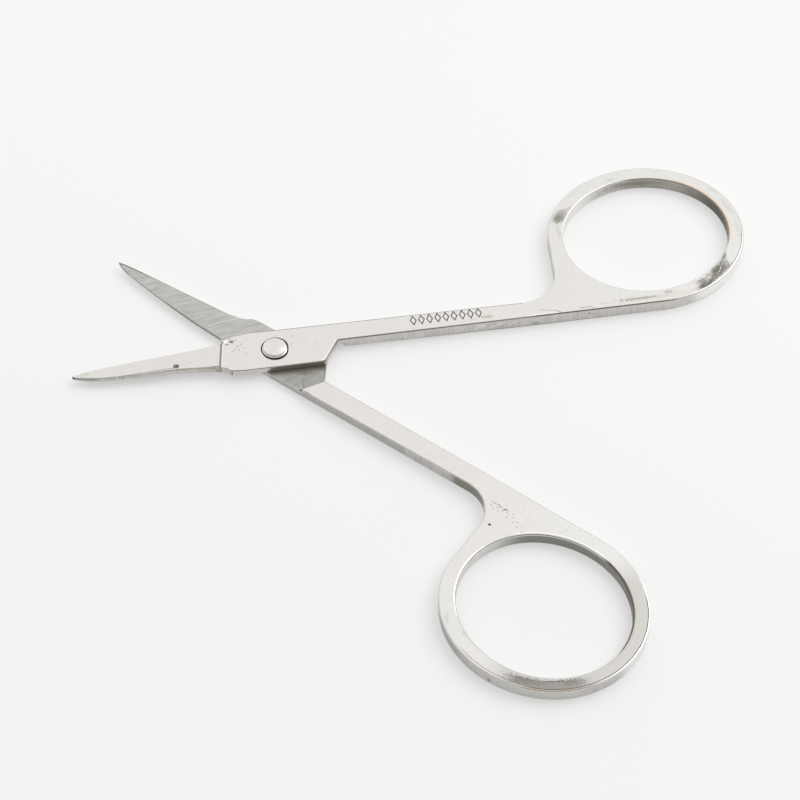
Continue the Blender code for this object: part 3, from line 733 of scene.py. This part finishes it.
def roundRings(piece, side):
    # draws the rounded edges of a ring further down its walls and further in over its faces
    place = halfPlaces[side]
    inverse = place.inverted()
    for vert in piece.data.vertices:
        at = inverse @ vert.co
        height = min(at.z, topZ - at.z)
        if height > halfWork["edgeRound"] + halfWork["mergeDistance"]:
            continue
        for name, oval in ringOvals.items():
            more, start, end, fade = ringRound[side][name]
            away = Vector((at.x, at.y)) - Vector(oval["centre"]) * mm
            straight = Matrix.Rotation(-oval["tilt"], 2) @ away
            reach = Vector(oval["reach"]) * mm
            share = math.hypot(straight.x / reach.x, straight.y / reach.y)
            outside = away.length * (1 - 1 / share)
            inset = outside if name == "hole" else -outside
            if not -halfWork["slack"] < inset < halfWork["edgeRound"] + halfWork["slack"]:
                continue
            angle = math.degrees(math.atan2(away.y, away.x))
            fading = min(max(min(angle - start, end - angle) / fade, 0), 1)
            extra = (more - 1) * fading
            outward = -1 if name == "outside" else 1
            slope = Vector((straight.x / reach.x ** 2, straight.y / reach.y ** 2))
            slope = Matrix.Rotation(oval["tilt"], 2) @ slope
            move = slope.normalized() * outward * max(inset, 0) * extra
            up = height * extra * (1 if at.z < jointZ else -1)
            vert.co = place @ Vector((at.x + move.x, at.y + move.y, at.z + up))
            break


def paintFaces(piece, side):
    # each face gets the finish that its place and slope call for
    inverse = halfPlaces[side].inverted()
    turn = inverse.to_3x3()
    for part in finishOrder:
        piece.data.materials.append(steels[side, part])
    around = {}
    for face in piece.data.polygons:
        at = inverse @ face.center
        tilt = abs((turn @ face.normal).z)
        sunk = at.z < topZ - halfWork["mergeDistance"]
        corners = [inverse @ piece.data.vertices[i].co for i in face.vertices]
        if side == "upper" and inStampRow(at) and sunk and at.z > jointZ:
            finish = "stamp"
        # the counterbore gets the painted shade
        elif side == "upper" and sunk and math.hypot(at.x, at.y) < halfWork["sinkRadius"]:
            finish = "sinkShade"
        elif side == "upper" and inDent(corners) and at.z > jointZ + halfWork["dentAbove"]:
            finish = "dent"
        elif abs(at.z - jointZ) < halfWork["jointSlack"] and tilt > halfWork["faceTilt"]:
            finish = "joint"
        elif tilt > halfWork["faceTilt"]:
            finish = "face"
        elif tilt < halfWork["wallTilt"]:
            finish = "wall"
        elif side == "upper" and at.x < halfWork["bladeEnd"] and at.z > jointZ:
            finish = "bevel"
        else:
            finish = "edge"
        face.material_index = finishOrder.index(finish)
        if finish == "face" and min(at.z, topZ - at.z) > halfWork["slack"]:
            finish = "ground"
        for key in face.edge_keys:
            around.setdefault(key, set()).add(finish)
    # ground, bevelled, stamped and dented faces have crisp borders, so that nothing pulls on their shading
    for edge in piece.data.edges:
        edge.use_edge_sharp = len(around[edge.key]) > 1 and bool(around[edge.key] & crispFinishes)


def finishHalf(side):
    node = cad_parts[side + "_half"]
    piece = bpy.data.objects.new(side + "_half_finish", node.data.copy())
    bpy.context.scene.collection.objects.link(piece)
    piece.data.materials.clear()
    editAll(piece)
    bpy.ops.mesh.remove_doubles(threshold=halfWork["mergeDistance"])
    bpy.ops.mesh.dissolve_limited(angle_limit=halfWork["flatAngle"])
    closeEdit()
    roundRings(piece, side)
    if side == "upper":
        cutStampRow(piece, halfPlaces[side])
    paintFaces(piece, side)
    keepFlatsFlat(piece, halfWork["sharpAngle"])
    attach(piece, side + "_half")
    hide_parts(side + "_half")
    print(piece.name, len(piece.data.polygons), "faces")


for side in halfTurns:
    finishHalf(side)


# The rivet

rivetWork = {
    "sides": 96, "tailRadius": 1.4 * mm, "tailDepth": 0.35 * mm, "shankRadius": 1.0 * mm,
    "seatZ": 1.63 * mm, "footRadius": 1.6 * mm, "footZ": 1.785 * mm, "headRadius": 1.51 * mm,
    "footTop": 1.85 * mm, "sideTop": 1.98 * mm, "rimRound": 0.2 * mm, "rimEnd": math.radians(80),
    "crownTop": 2.32 * mm, "rimSteps": 7, "crownSteps": 8,
    # the head's side between these heights is painted pale, a painted reflection
    "footClear": (1.9, 1.86), "rimReflectionSpan": (2.04, 2.22),          # heights in mm
    "sharpAngle": math.radians(50),
    "color": (0.78, 0.755, 0.72), "rimReflectionColor": (0.95, 0.93, 0.9), "rough": (0.19, 0.25), "bump": 0.05,
    "grainTurn": 0.4, "pace": (3, 6, 6), "shade": (0.96, 1.04),
    "pitDensity": 2.2, "pitSize": 0.06, "pitStrength": 0.35,
}


def rivetProfile():
    # (radius, height) pairs from the top of the tail up to the crown
    work = rivetWork
    pairs = [(work["shankRadius"], work["tailDepth"]), (work["shankRadius"], work["seatZ"]),
             (work["footRadius"], work["seatZ"]), (work["footRadius"], work["footZ"]),
             (work["headRadius"], work["footTop"]), (work["headRadius"], work["sideTop"])]
    crownRadius = work["headRadius"] - work["rimRound"]
    for i in range(1, work["rimSteps"] + 1):
        angle = work["rimEnd"] * i / work["rimSteps"]
        pairs.append((crownRadius + work["rimRound"] * math.cos(angle),
                      work["sideTop"] + work["rimRound"] * math.sin(angle)))
    lastRadius, lastZ = pairs[-1]
    for i in range(1, work["crownSteps"]):
        share = 1 - i / work["crownSteps"]
        pairs.append((lastRadius * share, lastZ + (work["crownTop"] - lastZ) * (1 - share ** 2)))
    return pairs


def rivetSteel():
    material, tree, shader = newMaterial("rivetSteel")
    work = rivetWork
    solid = halfPlaceNodes(tree, "upper")[0]
    grain = useEffect(tree, "lines", Place=solid, Turn=work["grainTurn"], Pace=work["pace"])
    shade = grayOf(tree, mapRange(tree, grain["Cloud"], *noiseSpan, *work["shade"]))
    color = mixColor(tree, 1.0, work["color"], shade, "MULTIPLY")
    pits = useEffect(tree, "specks", Place=solid, Density=work["pitDensity"], Size=work["pitSize"])
    pitMask = mathNode(tree, "MULTIPLY", pits["Mask"], work["pitStrength"])
    color = mixColor(tree, pitMask, color, charcoal)
    # between the coined foot and the crown the head is painted pale and not metal, a painted reflection of
    # the pale floor
    height = axesOf(tree, solid)[2]
    clear = mathNode(tree, "ADD", mapRange(tree, height, *work["rimReflectionSpan"]),
                     mapRange(tree, height, *work["footClear"]), clamp=True)
    plug(tree, shader.inputs["Base Color"], mixColor(tree, clear, work["rimReflectionColor"], color))
    plug(tree, shader.inputs["Metallic"], clear)
    rough = mapRange(tree, grain["Lines"], *noiseSpan, *work["rough"])
    plug(tree, shader.inputs["Roughness"], rough)
    addBump(tree, shader, work["bump"], grain["Lines"])
    return material


def makeRivet():
    # one turned body, extruded from the tail's disc through the plates and over the crown
    bpy.ops.object.select_all(action="DESELECT")
    bpy.ops.mesh.primitive_circle_add(vertices=rivetWork["sides"], radius=rivetWork["tailRadius"],
                                      fill_type="NGON")
    rivet = bpy.context.active_object
    rivet.name = "rivet_finish"
    editAll(rivet)
    radius, height = rivetWork["tailRadius"], 0.0
    for nextRadius, nextHeight in rivetProfile():
        bpy.ops.mesh.extrude_region_move(TRANSFORM_OT_translate={"value": (0, 0, nextHeight - height)})
        grow = nextRadius / radius
        bpy.ops.transform.resize(value=(grow, grow, 1), center_override=(0, 0, nextHeight))
        radius, height = nextRadius, nextHeight
    last = rivetWork["crownTop"] - height
    bpy.ops.mesh.extrude_region_move(TRANSFORM_OT_translate={"value": (0, 0, last)})
    bpy.ops.mesh.merge(type="CENTER")
    bpy.ops.mesh.select_all(action="SELECT")
    bpy.ops.mesh.normals_make_consistent(inside=False)
    closeEdit()
    rivet.data.materials.append(rivetSteel())
    keepFlatsFlat(rivet, rivetWork["sharpAngle"])
    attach(rivet, "lower_half")
    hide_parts("pivot_rivet")


makeRivet()
print("Pieces ready")


# Floor, light and camera

floorWork = {"size": 12.0, "level": -0.02 * mm, "color": (0.9, 0.9, 0.895), "rough": 0.55,
             "glow": 0.5, "nearTone": 0.875, "farTone": 0.935, "nearY": -0.05, "farY": 0.05}


def paleFloor():
    # half lit and half plain tone, so that the shadows stay but are as light as on white card
    material, tree, lit = newMaterial("paleFloor")
    plug(tree, lit.inputs["Base Color"], floorWork["color"])
    plug(tree, lit.inputs["Roughness"], floorWork["rough"])
    coords = tree.nodes.new("ShaderNodeTexCoord")
    # the plain tone brightens towards the far side, a painted falloff of the light
    tone = mapRange(tree, axesOf(tree, coords.outputs["Object"])[1], floorWork["nearY"],
                    floorWork["farY"], floorWork["nearTone"], floorWork["farTone"])
    plain = tree.nodes.new("ShaderNodeEmission")
    plug(tree, plain.inputs["Strength"], tone)
    ray = tree.nodes.new("ShaderNodeLightPath")
    seen = mathNode(tree, "ADD", ray.outputs["Is Camera Ray"], ray.outputs["Is Glossy Ray"])
    seen = mathNode(tree, "ADD", seen, ray.outputs["Is Transmission Ray"], clamp=True)
    both = tree.nodes.new("ShaderNodeMixShader")
    plug(tree, both.inputs[0], mathNode(tree, "MULTIPLY", seen, floorWork["glow"]))
    tree.links.new(lit.outputs[0], both.inputs[1])
    tree.links.new(plain.outputs[0], both.inputs[2])
    tree.links.new(both.outputs[0], tree.nodes["Material Output"].inputs["Surface"])
    return material


bpy.ops.object.select_all(action="DESELECT")
bpy.ops.mesh.primitive_plane_add(size=floorWork["size"], location=(0, 0, floorWork["level"]))
floor = bpy.context.active_object
floor.name = "studio_floor"
floor.data.materials.append(paleFloor())

skyWork = {
    "bright": (1.0, 1.0, 1.0), "dark": (0.13, 0.13, 0.135), "pale": (0.9, 0.9, 0.9), "strength": 1.0,
    "farSide": (-0.243, 0.97), "farRise": math.radians(3), "nearRise": math.radians(55), "soft": 0.09,
    "paleFrom": 0.10, "paleTo": 0.16,
}


def buildSky():
    # a white tent over a pale table, and a dark gap between them, widest behind the viewer, that
    # rounded steel edges mirror as dark lines
    world = bpy.data.worlds.new("studioTent")
    bpy.context.scene.world = world
    world.use_nodes = True
    tree = world.node_tree
    coords = tree.nodes.new("ShaderNodeTexCoord")
    direction = coords.outputs["Generated"]
    height = axesOf(tree, direction)[2]
    level = vectorNode(tree, "NORMALIZE", vectorNode(tree, "MULTIPLY", direction, (1, 1, 0)))
    facing = vectorNode(tree, "DOT_PRODUCT", level, (*skyWork["farSide"], 0.0), output="Value")
    brim = mapRange(tree, facing, -1.0, 1.0, math.sin(skyWork["nearRise"]), math.sin(skyWork["farRise"]),
                    blend="LINEAR")
    above = mapRange(tree, mathNode(tree, "SUBTRACT", height, brim), -skyWork["soft"], skyWork["soft"])
    tent = mixColor(tree, above, skyWork["dark"], skyWork["bright"])
    clear = mapRange(tree, height, skyWork["paleFrom"], skyWork["paleTo"])
    plug(tree, tree.nodes["Background"].inputs["Color"], mixColor(tree, clear, skyWork["pale"], tent))
    plug(tree, tree.nodes["Background"].inputs["Strength"], skyWork["strength"])


buildSky()

lampWork = {"energy": 3.3, "size": 0.7, "place": (0.5, 0.42, 0.62), "target": (0.017, 0, 0)}
lampData = bpy.data.lights.new("softLamp", "AREA")
lampData.energy = lampWork["energy"]
lampData.size = lampWork["size"]
lamp = bpy.data.objects.new("softLamp", lampData)
lamp.location = lampWork["place"]
lampAim = Vector(lampWork["target"]) - Vector(lampWork["place"])
lamp.rotation_euler = lampAim.to_track_quat("-Z", "Y").to_euler()
bpy.context.scene.collection.objects.link(lamp)

cameraWork = {
    "elevation": math.radians(49.473), "azimuth": math.radians(14.079), "distance": 383.54 * mm,
    "lookAt": (17.175 * mm, -3.009 * mm, 0), "lens": 137.04, "sensor": 36.0,
    "nearest": 0.01,
}
cameraData = bpy.data.cameras.new("camera")
cameraData.lens = cameraWork["lens"]
cameraData.sensor_width = cameraWork["sensor"]
cameraData.clip_start = cameraWork["nearest"]
camera = bpy.data.objects.new("camera", cameraData)
bpy.context.scene.collection.objects.link(camera)
lookTurn = Euler((math.pi / 2 - cameraWork["elevation"], 0, cameraWork["azimuth"])).to_matrix()
camera.location = Vector(cameraWork["lookAt"]) + lookTurn @ Vector((0, 0, cameraWork["distance"]))
camera.rotation_euler = lookTurn.to_euler()
bpy.context.scene.camera = camera
bpy.context.scene.view_settings.view_transform = "Standard"
print("Studio ready")
